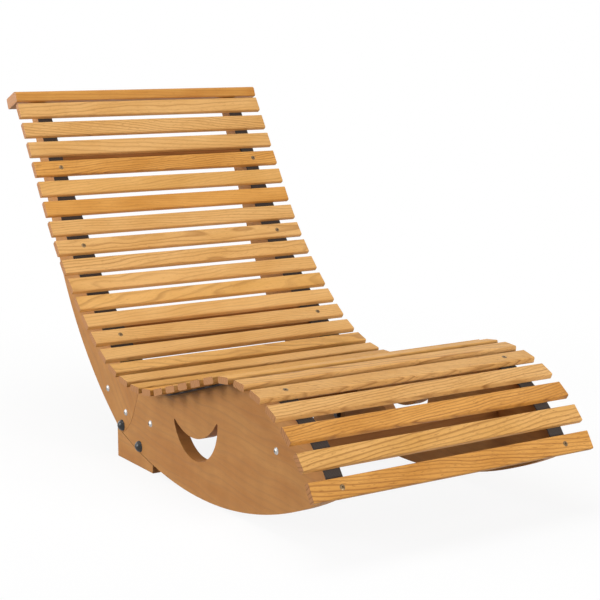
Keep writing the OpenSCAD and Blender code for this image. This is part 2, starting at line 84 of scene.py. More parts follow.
# The straps stop short of the last slat's lower edge by the first of these, and lie behind the slats by
# the second.
STRAP_END_MM, STRAP_CLEAR_MM = 9.0, 0.1
# Their weave is laid out from this far off the strap's middle, which is past its edge.
WEAVE_START_MM = 100.0
# The straps widen from the middle of one gap to the middle of another, and narrow again between two slats.
WIDEN_GAPS, NARROW_SLATS = (4, 6), (24, 27)
SIDE_X_MM, PANEL_THICK_MM = 240.0, 25.0
OUTER_X_MM = SIDE_X_MM + PANEL_THICK_MM / 2
# Screws and bolts in the side view, [y, z] from the rocker's floor line.
RAIL_SCREWS_MM = [(377.8, 133.4), (296.8, 99.7), (188.8, 99.7), (-278.0, 155.0)]
BOLTS_MM = [(315.3, 68.9), (238.3, 42.4)]
# The head bar's middle in metres, and its tilt about X.
BAR_MIDDLE, BAR_TILT = (0.0, 0.555, 0.7), math.radians(338.6)
RAILS = ("upper_back_rail", "lower_back_rail", "rear_rail", "seam_board", "front_rail")
# Grain directions of the side frames' boards in the side view, as a turn from the +Y direction in degrees.
PANEL_GRAIN = {"back_panel": 52, "rocker_panel": 5, "stop_block": 2}

# Pale ground, deep ground and late wood of the slats' boards, which came from more than one log.
SLAT_TONES = [
    ("#E4AF68", "#D6A056", "#96622C"),
    ("#E0A354", "#CD8E3F", "#8E5724"),
    ("#E4B270", "#D8A35E", "#9C6832"),
]
BAR_TONES = ("#D59A4C", "#C5853A", "#965E28")
# The rails are browner than the side frames of the same wood: painted shade, as they sit in shade under the
# slats.
RAIL_TONES = ("#B87C44", "#A86C38", "#8A5628")
DOWEL_TONES = ("#E4CBA0", "#D9BC8C", "#B8935F")
SAWN_END = "#C48A58"
# The slats from this one to the foot have the boldest grain in the photo.
FIRST_BOLD_SLAT, BOLD_CONTRAST = 25, 0.95
# Sizes of the wood's patterns in mm, along the grain and across it: the waves of the grain, the paler and
# browner clouds, the bars of the panels' figure, the streaks between the rings and the pores. Real pores
# are 0.2 mm wide and real streaks 0.5 mm; both are drawn as coarse as this so that they show.
WAVE_SIZE_MM, CLOUD_SIZE_MM, FIGURE_SIZE_MM = (125.0, 38.46), (111.1, 33.33), (29.41, 111.1)
STREAK_SIZE_MM, PORE_SIZE_MM = (35.71, 2.083), (12.5, 1.538)

# Soft lamps: place and size in metres, and the setting that holds the power.
LAMPS = {
    "key_light": ((-0.7, -0.2, 3.3), 2.2, "key_power"),
    "side_light": ((-3.4, 1.0, 1.4), 2.0, "side_power"),
    "front_light": ((0.7, -4.2, 0.8), 1.4, "front_power"),
    "back_light": ((-0.7, 3.9, 1.3), 2.0, "fill_power"),
    "right_light": ((3.9, 0.1, 1.3), 2.0, "fill_power"),
}
LAMP_AIM = (0.0, 0.0, 0.3)
FLOOR_RADIUS_MM = 9000.0
# The floor's paint fades into the white between these distances in metres from the chair's middle.
FADE_FROM, FADE_TO = 0.75, 1.9


def stations():
    """Lengths along the seat curve of the slats: the back's, the seat's and the knees' spacing in turn."""
    steps = np.concatenate([np.full(count, step) for count, step in SPACINGS_MM])
    return np.concatenate([[0.0], np.cumsum(steps)])


def seat_curve(lengths, start=(0.0, 0.0)):
    """[y, z, heading] in mm and radians at lengths down the seat curve. Each stretch is a straight or an
    arc: along an arc of radius r the place moves by r (sin, -cos) of the heading, less the same at its
    start."""
    out = np.zeros((len(lengths), 3))
    y, z, heading, begin = *start, math.radians(BACK_ANGLE - 180), 0.0
    for length, turn in STRETCHES:
        bend = math.radians(turn) / length
        run = np.append(lengths - begin, length)
        headings = heading + bend * run
        if turn:
            ahead_y = (np.sin(headings) - math.sin(heading)) / bend
            ahead_z = (math.cos(heading) - np.cos(headings)) / bend
        else:
            ahead_y, ahead_z = run * math.cos(heading), run * math.sin(heading)
        places = np.stack([y + ahead_y, z + ahead_z, headings], axis=1)
        reached = lengths >= begin
        out[reached] = places[:-1][reached]
        (y, z, heading), begin = places[-1], begin + length
    return out


LOW_LENGTH_MM = BACK_STRAIGHT_MM + STRETCHES[1][0] + math.radians(BACK_ANGLE - BACK_TURN) * HIP_RADIUS_MM
LOW_RUN = seat_curve(np.array([LOW_LENGTH_MM]))[0]
HEAD = (LOW_Y_MM - LOW_RUN[0], LOW_Z_MM - LOW_RUN[1])
SLAT_PLACES = seat_curve(stations(), HEAD)


def towards_head(places, distance):
    """Points [y, z] this many mm from places on the seat curve, straight back along its heading."""
    y, z, heading = places.T
    return np.stack([y - distance * np.cos(heading), z - distance * np.sin(heading)], axis=1)


def square_to(directions, heading):
    """Unit directions [y, z] at right angles to these, on the side behind a seat curve of this heading."""
    across = np.stack([-directions[:, 1], directions[:, 0]], axis=1)
    across /= np.linalg.norm(across, axis=1)[:, None]
    behind = np.stack([-np.sin(heading), np.cos(heading)], axis=1)
    return across * np.sign((across * behind).sum(axis=1))[:, None]


# Meshes


def linked(name, data):
    """New object with this data, linked to the scene."""
    obj = bpy.data.objects.new(name, data)
    bpy.context.scene.collection.objects.link(obj)
    return obj


def smooth(mesh, sharp_degrees):
    """Shades a mesh smooth, but for the edges that turn by more than this."""
    mesh.polygons.foreach_set("use_smooth", [True] * len(mesh.polygons))
    mesh.set_sharp_from_angle(angle=math.radians(sharp_degrees))


def mesh_object(name, points_mm, faces, uv=None):
    """Object at the origin whose mesh has these points, given in mm from the rocker's floor line."""
    points = (np.asarray(points_mm, float) + (0.0, SHIFT_Y_MM, 0.0)) * MM
    mesh = bpy.data.meshes.new(name)
    mesh.from_pydata(points.tolist(), [], faces)
    mesh.validate()
    if uv is not None:
        layer = mesh.uv_layers.new(name="UVMap")
        corner = np.zeros(len(mesh.loops), np.int32)
        mesh.loops.foreach_get("vertex_index", corner)
        layer.data.foreach_set("uv", np.asarray(uv, float)[corner].ravel())
    smooth(mesh, 40)
    mesh.update()
    return linked(name, mesh)


def ring_faces(rings, around):
    """Quads between closed rings of points, which are numbered ring by ring."""
    ring, k = np.meshgrid(np.arange(rings - 1), np.arange(around), indexing="ij")
    this, next_one = ring * around + k, ring * around + (k + 1) % around
    return np.stack([this, next_one, next_one + around, this + around], axis=-1).reshape(-1, 4)


def finish(obj, material, slot_name, *replaced):
    """Gives a new piece its material and its body, and hides the solids that it stands for."""
    obj.data.materials.clear()
    obj.data.materials.append(material)
    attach(obj, "root")
    if replaced:
        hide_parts(*replaced)
    return obj


def eased(name, node, ease):
    """Copy of a board's solid as one skin, with its sharp edges rounded off: its doubled points are welded
    and its flat faces joined, so that the bevel meets only real edges."""
    source = NODES[node]
    weld, flat = 0.005 * MM, math.radians(0.5)
    mesh = source.data.copy()
    mesh.name = name
    mesh.transform(source.matrix_world)
    skin = bmesh.new()
    skin.from_mesh(mesh)
    bmesh.ops.remove_doubles(skin, verts=skin.verts, dist=weld)
    bmesh.ops.dissolve_limit(skin, angle_limit=flat, verts=skin.verts, edges=skin.edges)
    skin.to_mesh(mesh)
    skin.free()
    if "custom_normal" in mesh.attributes:
        mesh.attributes.remove(mesh.attributes["custom_normal"])
    smooth(mesh, 30)
    obj = linked(name, mesh)
    bevel = obj.modifiers.new("eased_edges", "BEVEL")
    bevel.width, bevel.segments = ease, 2
    bevel.limit_method, bevel.angle_limit = "ANGLE", math.radians(60)
    bevel.harden_normals = True
    return obj


def dome(head, distance):
    """Height in mm of a spherical dome, head = (width, height), at distances from its middle. It is cut
    from a ball whose radius is (half the width squared + the height squared) / twice the height."""
    width, height = head
    ball = (width**2 / 4 + height**2) / (2 * height)
    return height - ball + np.sqrt(ball**2 - distance**2)


def turned(name, profile, head, socket, places):
    """Pins turned about their own axes, as one mesh. A ring of points stands at its profile's radius times
    (cos, sin) of the turn across the axis, and at its profile's height along it.

    profile is [radius, height] in mm from the tip to the rim of the head; head is the dome's (width,
    height); socket is the hexagon's (corner radius, depth), whose sides run at the corner's radius times
    cos 30 degrees, and the dome ends in a ring a little wider. A depth of 0 leaves the hexagon out. Each
    place is (the middle of the head's seat in mm, the axis out of the head, and two directions across it).
    """
    around, dome_rings, wider, floor_share = 48, 8, 1.15, 0.9
    turn = np.linspace(0, 2 * np.pi, around, endpoint=False)
    corner, depth = socket
    half_side = math.pi / 6
    hexagon = corner * math.cos(half_side) / np.cos(turn % (2 * half_side) - half_side)
    dome_radii = np.linspace(head[0] / 2, corner * wider, dome_rings + 1)[1:]
    rings = [*profile, *((radius, dome(head, radius)) for radius in dome_radii)]
    if depth:
        bottom = head[1] - depth
        rings += [(hexagon, dome(head, hexagon)), (hexagon, bottom), (hexagon * floor_share, bottom)]
    radius, height = (
        np.array([np.broadcast_to(ring[part], around) for ring in rings])[..., None] for part in (0, 1)
    )
    one = ring_faces(len(rings), around)
    points, faces = [], []
    for k, (seat, axis, across, up) in enumerate(places):
        spread = radius * (np.cos(turn)[:, None] * across + np.sin(turn)[:, None] * up)
        points.append((np.array(seat) + spread + height * np.array(axis)).reshape(-1, 3))
        first = k * len(rings) * around
        last = first + (len(rings) - 1) * around
        faces += (one + first).tolist()
        faces += [range(first + around - 1, first - 1, -1), range(last, last + around)]
    return mesh_object(name, np.concatenate(points), faces)


def side_places(spots):
    """Places for turned pins on the outer faces of both side frames, from [y, z] in the side view."""
    return [
        ((side * OUTER_X_MM, y, z), (side, 0, 0), np.array((0, side, 0)), np.array((0, 0, 1)))
        for side in (1, -1)
        for y, z in spots
    ]


# Materials


def linear(hex_colour):
    """Linear RGBA of an sRGB hex colour such as #DEA65C."""
    srgb = np.array([int(hex_colour[k : k + 2], 16) / 255 for k in (1, 3, 5)])
    rgb = np.where(srgb <= 0.04045, srgb / 12.92, ((srgb + 0.055) / 1.055) ** 2.4)
    return (*rgb.tolist(), 1.0)


def empty_tree(owner):
    """Node tree of a material or a world, switched on and emptied."""
    owner.use_nodes = True
    owner.node_tree.nodes.clear()
    return owner.node_tree


def new_material(name):
    """Empty material, with its node tree, its shader and its output already joined."""
    material = bpy.data.materials.new(name)
    tree = empty_tree(material)
    shader = add(tree, "ShaderNodeBsdfPrincipled")
    add(tree, "ShaderNodeOutputMaterial", {"Surface": shader.outputs["BSDF"]})
    return material, tree, shader


def add(tree, kind, inputs=None, stops=(), **settings):
    """Adds a node, sets its settings and a ramp's stops of (position, linear RGBA), and sets or links its
    inputs by name or number. Sockets that share a name go by number: a colour Mix takes its factor at 0 and
    its two colours at 6 and 7, and gives the colour at 2."""
    node = tree.nodes.new(kind)
    for key, value in settings.items():
        setattr(node, key, value)
    for key, value in (inputs or {}).items():
        if isinstance(value, bpy.types.NodeSocket):
            tree.links.new(value, node.inputs[key])
        else:
            node.inputs[key].default_value = value
    for k, (position, colour) in enumerate(stops):
        stop = node.color_ramp.elements[k] if k < 2 else node.color_ramp.elements.new(position)
        stop.position, stop.color = position, colour
    return node


def grey(value):
    """Opaque grey, as linear RGBA."""
    return (value, value, value, 1.0)


def stretched_noise(tree, where, size_mm, detail=2.0, start=(0.0, 0.0, 0.0)):
    """Noise whose clouds have this size in mm, (along X, across X)."""
    along, across = (1 / (size * MM) for size in size_mm)
    space = add(
        tree, "ShaderNodeMapping", {"Vector": where, "Location": start, "Scale": (along, across, across)}
    )
    return add(
        tree, "ShaderNodeTexNoise", {"Vector": space.outputs["Vector"], "Scale": 1.0, "Detail": detail}
    )


def bent_grain(tree, trunk, wave_mm):
    """Places in the log's frame, each pushed across the grain by slow noise, up to wave_mm either way."""
    wave = stretched_noise(tree, trunk, WAVE_SIZE_MM, detail=1.0)
    centred = add(
        tree, "ShaderNodeVectorMath", {0: wave.outputs["Color"], 1: (0.5, 0.5, 0.5)}, operation="SUBTRACT"
    )
    push = wave_mm * MM * 2
    pushed = add(
        tree,
        "ShaderNodeVectorMath",
        {0: centred.outputs["Vector"], 1: (0.0, push, push), 2: trunk},
        operation="MULTIPLY_ADD",
    )
    return pushed.outputs["Vector"]


def ring_lines(tree, grain, ring_mm):
    """Darkness of the rings, 0 to 1. The distance from the pith line over the width of a ring counts the
    rings: its fraction runs from pale early wood to dark late wood, and its whole part picks how dark that
    year's line is."""
    across = add(tree, "ShaderNodeVectorMath", {0: grain, 1: (0.0, 1.0, 1.0)}, operation="MULTIPLY")
    radius = add(tree, "ShaderNodeVectorMath", {0: across.outputs["Vector"]}, operation="LENGTH")
    count = add(
        tree, "ShaderNodeMath", {0: radius.outputs["Value"], 1: 1 / (ring_mm * MM)}, operation="MULTIPLY"
    )
    within = add(tree, "ShaderNodeMath", {0: count.outputs["Value"]}, operation="FRACT")
    late = add(
        tree,
        "ShaderNodeValToRGB",
        {"Fac": within.outputs["Value"]},
        stops=[
            (0.0, grey(0.5)),
            (1.0, grey(0.5)),
            (0.1, grey(0.0)),
            (0.6, grey(0.1)),
            (0.84, grey(0.85)),
            (0.93, grey(1.0)),
        ],
    )
    year = add(tree, "ShaderNodeMath", {0: count.outputs["Value"]}, operation="FLOOR")
    chance = add(tree, "ShaderNodeTexWhiteNoise", {"W": year.outputs["Value"]}, noise_dimensions="1D")
    depth = add(tree, "ShaderNodeMapRange", {"Value": chance.outputs["Value"], "To Min": 0.45})
    rings = add(
        tree, "ShaderNodeMath", {0: late.outputs["Color"], 1: depth.outputs["Result"]}, operation="MULTIPLY"
    )
    return rings.outputs["Value"]


def sawn_ends(tree, colour, normal, turn):
    """Colour that gives way to the browner tone of end grain where a face looks along the grain. turn is
    the board's, in radians; the share is the part of the normal that lies along the grain."""
    grain = Euler(turn).to_matrix() @ Vector((1.0, 0.0, 0.0))
    facing = add(tree, "ShaderNodeVectorMath", {0: normal, 1: grain}, operation="DOT_PRODUCT")
    along = add(tree, "ShaderNodeMath", {0: facing.outputs["Value"]}, operation="ABSOLUTE")
    share = add(
        tree, "ShaderNodeMapRange", {"Value": along.outputs["Value"], "From Min": 0.6, "From Max": 0.95}
    )
    sawn = add(
        tree,
        "ShaderNodeMix",
        {0: share.outputs["Result"], 6: colour, 7: linear(SAWN_END)},
        data_type="RGBA",
    )
    return sawn.outputs[2]


def figured(tree, colour, board, strength):
    """Colour with soft paler and darker bars across the grain."""
    bars = stretched_noise(tree, board, FIGURE_SIZE_MM)
    glow = add(
        tree,
        "ShaderNodeMapRange",
        {
            "Value": bars.outputs["Fac"],
            "From Min": 0.35,
            "From Max": 0.65,
            "To Min": 1 - strength,
            "To Max": 1 + strength,
        },
    )
    lit = add(tree, "ShaderNodeVectorMath", {0: colour, "Scale": glow.outputs["Result"]}, operation="SCALE")
    return lit.outputs["Vector"]


def painted_seam_shade(tree, colour, normal, rim):
    """Colour darkened to the share rim on the rounded edges of a board that stands across X: painted shade,
    as the groove where two such edges meet at a seam lies in shade and reads as a darker line."""
    parts = add(tree, "ShaderNodeSeparateXYZ", {0: normal})
    across = add(tree, "ShaderNodeMath", {0: parts.outputs["X"]}, operation="ABSOLUTE")
    # The board's edge has a normal of 0 along X and its face a normal of 1; the rounding lies between.
    shade = add(
        tree,
        "ShaderNodeValToRGB",
        {"Fac": across.outputs["Value"]},
        stops=[(0.15, grey(1.0)), (1.0, grey(1.0)), (0.35, grey(rim)), (0.93, grey(rim))],
    )
    darker = add(tree, "ShaderNodeVectorMath", {0: colour, 1: shade.outputs["Color"]}, operation="MULTIPLY")
    return darker.outputs["Vector"]


def wood(name, place, log, colours, ring_mm, wave_mm, contrast, rough, mottle=0.0, rim=1.0):
    """Oiled hardwood sawn from one log. The rings are circles about a pith line that runs nearly along the
    board, bent by slow noise, so a face shows them as long lines and arches; the pores are short dark
    dashes. Where the face looks along the grain it has the browner tone of sawn end grain.

    place is (location in metres, turn in radians) of the board's own frame, with its grain along local X;
    log is the pith's (location in metres, turn in radians) in that frame; colours are the pale and the deep
    ground and the late wood; ring_mm is the width of a ring and wave_mm how far the noise bends it;
    contrast is the strength of the lines and rough the roughness between them; mottle is the strength of
    the cloudy figure across the grain; rim is the tone of the rounded edges of a board that stands across
    X, as a share of its faces' tone: painted shade, which darkens the seams.
    """
    material, tree, shader = new_material(name)
    pale, deep, line = (linear(colour) for colour in colours)
    here = add(tree, "ShaderNodeTexCoord")
    board = add(
        tree,
        "ShaderNodeMapping",
        {"Vector": here.outputs["Object"], "Location": place[0], "Rotation": place[1]},
        vector_type="TEXTURE",
    )
    trunk = add(
        tree,
        "ShaderNodeMapping",
        {"Vector": board.outputs["Vector"], "Location": log[0], "Rotation": log[1]},
        vector_type="TEXTURE",
    )
    grain = bent_grain(tree, trunk.outputs["Vector"], wave_mm)
    rings = ring_lines(tree, grain, ring_mm)
    streak_noise = stretched_noise(tree, grain, STREAK_SIZE_MM, detail=1.0)
    streaks = add(
        tree,
        "ShaderNodeMapRange",
        {"Value": streak_noise.outputs["Fac"], "From Min": 0.48, "From Max": 0.7, "To Max": 0.22},
    )
    marks = add(tree, "ShaderNodeMath", {0: rings, 1: streaks.outputs["Result"]}, operation="MAXIMUM")
    pore_noise = stretched_noise(tree, grain, PORE_SIZE_MM)
    pores = add(
        tree, "ShaderNodeMapRange", {"Value": pore_noise.outputs["Fac"], "From Min": 0.58, "From Max": 0.7}
    )
    cloud_noise = stretched_noise(tree, board.outputs["Vector"], CLOUD_SIZE_MM, start=log[0])
    clouds = add(
        tree, "ShaderNodeMapRange", {"Value": cloud_noise.outputs["Fac"], "From Min": 0.3, "From Max": 0.7}
    )
    ground = add(
        tree, "ShaderNodeMix", {0: clouds.outputs["Result"], 6: pale, 7: deep}, data_type="RGBA"
    )
    colour = sawn_ends(tree, ground.outputs[2], here.outputs["Normal"], place[1])
    # The lines go over the ground first, and the pores over both, at 0.6 of the lines' strength.
    layers = [(marks.outputs["Value"], contrast), (pores.outputs["Result"], contrast * 0.6)]
    for darkness, strength in layers:
        weight = add(tree, "ShaderNodeMath", {0: darkness, 1: strength}, operation="MULTIPLY")
        lined = add(
            tree, "ShaderNodeMix", {0: weight.outputs["Value"], 6: colour, 7: line}, data_type="RGBA"
        )
        colour = lined.outputs[2]
    if mottle:
        colour = figured(tree, colour, board.outputs["Vector"], mottle)
    # Painted shade on the rounded edges, which makes each seam a darker line.
    if rim < 1:
        colour = painted_seam_shade(tree, colour, here.outputs["Normal"], rim)
    tree.links.new(colour, shader.inputs["Base Color"])
    # Dense late wood takes a better polish.
    gloss = add(tree, "ShaderNodeMapRange", {"Value": rings, "To Min": rough, "To Max": rough - 0.12})
    tree.links.new(gloss.outputs["Result"], shader.inputs["Roughness"])
    shader.inputs["IOR"].default_value = 1.46
    shader.inputs["Specular IOR Level"].default_value = 0.25
    # Late wood stands 0.15 mm proud at full strength, and the pores are cut as deep.
    relief = add(tree, "ShaderNodeMath", {0: rings, 1: pores.outputs["Result"]}, operation="SUBTRACT")
    bump = add(
        tree,
        "ShaderNodeBump",
        {"Height": relief.outputs["Value"], "Strength": 0.5, "Distance": 0.15 * MM},
    )
    tree.links.new(bump.outputs["Normal"], shader.inputs["Normal"])
    return material


def webbing():
    """Woven polypropylene webbing: slate ribs across the strap, dull, with a faint sheen on each thread and
    painted shade in the hollows of the weave.
    """
    material, tree, shader = new_material("polypropylene_webbing")
    uv = add(tree, "ShaderNodeUVMap", uv_map="UVMap")
    split = add(tree, "ShaderNodeSeparateXYZ", {0: uv.outputs["UV"]})
    # Ribs are 1.6 mm apart in the real weave; they are drawn twice as coarse so that they show. The loose
    # fibres on them stand in small tufts.
    rib_mm, tuft_mm = 3.2, 1.111
    turn_per_metre = 2 * math.pi / (rib_mm * MM)
    waves = []
    for axis in ("X", "Y"):
        phase = add(
            tree, "ShaderNodeMath", {0: split.outputs[axis], 1: turn_per_metre}, operation="MULTIPLY"
        )
        wave = add(tree, "ShaderNodeMath", {0: phase.outputs["Value"]}, operation="SINE")
        waves.append(wave.outputs["Value"])
    thread = add(tree, "ShaderNodeMath", {0: waves[0], 1: waves[1]}, operation="MULTIPLY")
    height = add(
        tree,
        "ShaderNodeMapRange",
        {"Value": thread.outputs["Value"], "From Min": -1.0, "From Max": 1.0},
    )
    fuzz = add(tree, "ShaderNodeTexNoise", {"Vector": uv.outputs["UV"], "Scale": 1 / (tuft_mm * MM)})
    mixed = add(
        tree,
        "ShaderNodeMath",
        {0: fuzz.outputs["Fac"], 1: 0.35, 2: height.outputs["Result"]},
        operation="MULTIPLY_ADD",
    )
    # The colour follows the threads' height, so the hollows of the weave are darker: painted shade, with
    # the random tufts over it.
    colour = add(
        tree,
        "ShaderNodeValToRGB",
        {"Fac": mixed.outputs["Value"]},
        stops=[(0.1, linear("#2D2926")), (1.0, linear("#524A45")), (0.6, linear("#423C38"))],
    )
    tree.links.new(colour.outputs["Color"], shader.inputs["Base Color"])
    shader.inputs["Roughness"].default_value = 0.8
    shader.inputs["Sheen Weight"].default_value = 0.05
    shader.inputs["Specular IOR Level"].default_value = 0.25
    bump = add(
        tree,
        "ShaderNodeBump",
        {"Height": mixed.outputs["Value"], "Strength": 0.4, "Distance": 0.4 * MM},
    )
    tree.links.new(bump.outputs["Normal"], shader.inputs["Normal"])
    return material


def metal(name, colours, metallic, rough, scratch):
    """Plated steel, turned and then plated or blackened: fine marks of the turning, and duller patches in
    two tones of the coat."""
    material, tree, shader = new_material(name)
    # Real turning marks are about 0.1 mm apart; they are drawn this coarse so that they show.
    mark_mm, patch_mm = 0.7143, 3.846
    here = add(tree, "ShaderNodeTexCoord")
    marks = add(
        tree,
        "ShaderNodeTexNoise",
        {"Vector": here.outputs["Object"], "Scale": 1 / (mark_mm * MM), "Detail": 3.0},
    )
    patches = add(
        tree, "ShaderNodeTexNoise", {"Vector": here.outputs["Object"], "Scale": 1 / (patch_mm * MM)}
    )
    colour = add(
        tree,
        "ShaderNodeValToRGB",
        {"Fac": patches.outputs["Fac"]},
        stops=[(0.35, linear(colours[0])), (0.65, linear(colours[1]))],
    )
    tree.links.new(colour.outputs["Color"], shader.inputs["Base Color"])
    shader.inputs["Metallic"].default_value = metallic
    dull = add(
        tree,
        "ShaderNodeMapRange",
        {"Value": patches.outputs["Fac"], "To Min": rough - 0.08, "To Max": rough + 0.08},
    )
    tree.links.new(dull.outputs["Result"], shader.inputs["Roughness"])
    bump = add(
        tree,
        "ShaderNodeBump",
        {"Height": marks.outputs["Fac"], "Strength": scratch, "Distance": 0.1 * MM},
    )
    tree.links.new(bump.outputs["Normal"], shader.inputs["Normal"])
    return material


def cap_plastic():
    """Moulded black polyethylene: glossy, with the soft grain of the mould and a little dust on it."""
    material, tree, shader = new_material("moulded_polyethylene")
    # The real grain of a mould is about 0.2 mm wide; it is drawn this coarse so that it shows.
    mould_mm, dust_mm = 1.111, 5.556
    here = add(tree, "ShaderNodeTexCoord")
    mould = add(
        tree,
        "ShaderNodeTexNoise",
        {"Vector": here.outputs["Object"], "Scale": 1 / (mould_mm * MM), "Detail": 3.0},
    )
    dust = add(
        tree, "ShaderNodeTexNoise", {"Vector": here.outputs["Object"], "Scale": 1 / (dust_mm * MM)}
    )
    colour = add(
        tree,
        "ShaderNodeValToRGB",
        {"Fac": dust.outputs["Fac"]},
        stops=[(0.4, linear("#151413")), (0.8, linear("#2B2A28"))],
    )
    tree.links.new(colour.outputs["Color"], shader.inputs["Base Color"])
    rough = add(tree, "ShaderNodeMapRange", {"Value": dust.outputs["Fac"], "To Min": 0.22, "To Max": 0.4})
    tree.links.new(rough.outputs["Result"], shader.inputs["Roughness"])
    bump = add(
        tree,
        "ShaderNodeBump",
        {"Height": mould.outputs["Fac"], "Strength": 0.25, "Distance": 0.1 * MM},
    )
    tree.links.new(bump.outputs["Normal"], shader.inputs["Normal"])
    return material


def white_behind(tree):
    """1 where a camera, mirror or glass ray arrives, and 0 for the light's own bounces."""
    path = add(tree, "ShaderNodeLightPath")
    seen = add(
        tree,
        "ShaderNodeMath",
        {0: path.outputs["Is Camera Ray"], 1: path.outputs["Is Glossy Ray"]},
        operation="MAXIMUM",
    )
    return add(
        tree,
        "ShaderNodeMath",
        {0: seen.outputs["Value"], 1: path.outputs["Is Transmission Ray"]},
        operation="MAXIMUM",
    ).outputs["Value"]


def floor_paint():
    """Matt pale paint on a smooth floor: rough, without a sheen. What is seen of it fades into the white
    room with the distance from the chair, and the light that it throws back up at the chair is duller."""
    material = bpy.data.materials.new("painted_studio_floor")
    tree = empty_tree(material)
    seen = white_behind(tree)
    # A roller's real stipple is about 2 mm wide; it is drawn this coarse so that it shows.
    stipple_mm = 16.67
    here = add(tree, "ShaderNodeTexCoord")
    stipple = add(
        tree, "ShaderNodeTexNoise", {"Vector": here.outputs["Object"], "Scale": 1 / (stipple_mm * MM)}
    )
    rough = add(
        tree, "ShaderNodeMapRange", {"Value": stipple.outputs["Fac"], "To Min": 0.85, "To Max": 0.95}
    )
    tint = add(tree, "ShaderNodeMix", {0: seen, 6: grey(0.22), 7: grey(0.9)}, data_type="RGBA")
    paint = add(
        tree, "ShaderNodeBsdfDiffuse", {"Color": tint.outputs[2], "Roughness": rough.outputs["Result"]}
    )
    away = add(tree, "ShaderNodeVectorMath", {0: here.outputs["Object"]}, operation="LENGTH")
    fade = add(
        tree,
        "ShaderNodeMapRange",
        {"Value": away.outputs["Value"], "From Min": FADE_FROM, "From Max": FADE_TO, "To Min": 0.87},
        interpolation_type="SMOOTHSTEP",
    )
    weight = add(tree, "ShaderNodeMath", {0: fade.outputs["Result"], 1: seen}, operation="MULTIPLY")
    glow = add(tree, "ShaderNodeEmission", {"Color": grey(1.0), "Strength": 1.0})
    mixed = add(
        tree,
        "ShaderNodeMixShader",
        {0: weight.outputs["Value"], 1: paint.outputs["BSDF"], 2: glow.outputs["Emission"]},
    )
    add(tree, "ShaderNodeOutputMaterial", {"Surface": mixed.outputs["Shader"]})
    return material


def room_light(strength):
    """World of even light all round, white where it is seen."""
    world = bpy.data.worlds.new("studio_room")
    tree = empty_tree(world)
    seen = white_behind(tree)
    level = add(tree, "ShaderNodeMapRange", {"Value": seen, "To Min": strength, "To Max": 1.0})
    light = add(tree, "ShaderNodeBackground", {"Color": grey(1.0), "Strength": level.outputs["Result"]})
    add(tree, "ShaderNodeOutputWorld", {"Surface": light.outputs["Background"]})
    return world


# Pieces


def strap_width(lengths):
    """Width in mm at lengths down the seat curve: narrow at both ends of the strap, full in the middle, and
    changing evenly between them."""
    props = bpy.context.scene.lounger_straps
    slats = stations()
    gap_middles = (slats[1:] + slats[:-1]) / 2
    widen_from, widen_to = (gap_middles[gap - 1] for gap in WIDEN_GAPS)
    narrow_from, narrow_to = (slats[number - 1] for number in NARROW_SLATS)
    head = (lengths - widen_from) / (widen_to - widen_from)
    foot = (narrow_to - lengths) / (narrow_to - narrow_from)
    full = np.clip(np.minimum(head, foot), 0, 1)
    narrow, wide = props.narrow / MM, props.wide / MM
    return narrow + (wide - narrow) * full


def strap_path(sag):
    """The strap's path as [y, z] and as lengths down the seat curve, in mm. It goes through both back edges
    of each slat and three points in each gap, where it sags by a sine of this height."""
    half = SLAT_WIDTH_MM / 2
    slats = stations()
    upper, lower = towards_head(SLAT_PLACES, half), towards_head(SLAT_PLACES, -half)
    over_gap = upper[1:] - lower[:-1]
    behind = square_to(over_gap, SLAT_PLACES[:-1, 2])
    share = np.linspace(0, 1, 5)
    dip = sag * np.sin(np.pi * share)
    gaps = lower[:-1, None] + over_gap[:, None] * share[:, None] + behind[:, None] * dip[:, None]
    end = towards_head(SLAT_PLACES, STRAP_END_MM - half)[-1:]
    path = np.concatenate([upper[:1], gaps.reshape(-1, 2), end])
    gap_lengths = (slats[:-1, None] + half) + (np.diff(slats)[:, None] - 2 * half) * share
    lengths = np.concatenate([[-half], gap_lengths.ravel(), [slats[-1] + half - STRAP_END_MM]])
    return path, lengths


def strap_section(radius):
    """Flat oval with half circles of this radius as its edges. For each of its points it gives the share of
    the half width between the circles' middles, the distance past that, and the distance behind the
    oval's middle."""
    turn = np.linspace(0, np.pi, 7)
    flat = np.linspace(-1, 1, 13)[1:-1]
    sine, cosine = radius * np.sin(turn), radius * np.cos(turn)
    one, level = np.ones_like(turn), np.full_like(flat, radius)
    share = np.concatenate([flat, one, flat[::-1], -one])
    past = np.concatenate([0 * flat, sine, 0 * flat, -sine])
    behind = np.concatenate([level, cosine, -level, -cosine])
    return share, past, behind


def strap_ribbon(name, side):
    """Ribbon behind the slats: its flat oval is carried along its path, across X and square to the path.
    Its weave is laid out in metres across and along it. Its length and area come back in metres too."""
    props = bpy.context.scene.lounger_straps
    path, lengths = strap_path(props.sag / MM)
    radius = props.thick / MM / 2
    share, past, behind = strap_section(radius)
    width = strap_width(lengths)
    x = share * (width[:, None] / 2 - radius) + past
    normal = square_to(np.gradient(path, axis=0), seat_curve(lengths.clip(0))[:, 2])
    depth = STRAP_CLEAR_MM + radius + behind
    yz = path[:, None] + normal[:, None] * depth[:, None]
    points = np.concatenate([(x + side * SIDE_X_MM)[..., None], yz], axis=2)
    rings, around = x.shape
    last = (rings - 1) * around
    faces = ring_faces(rings, around).tolist()
    faces += [range(around), range(last + around - 1, last - 1, -1)]
    steps = np.linalg.norm(np.diff(path, axis=0), axis=1)
    run = np.append(0.0, np.cumsum(steps))
    weave = np.stack([x + WEAVE_START_MM, np.repeat(run[:, None], around, axis=1)], axis=-1) * MM
    obj = mesh_object(name, points.reshape(-1, 3), faces, weave.reshape(-1, 2))
    area = float(((width[1:] + width[:-1]) / 2 * steps).sum()) * MM * MM
    return obj, float(run[-1]) * MM, area


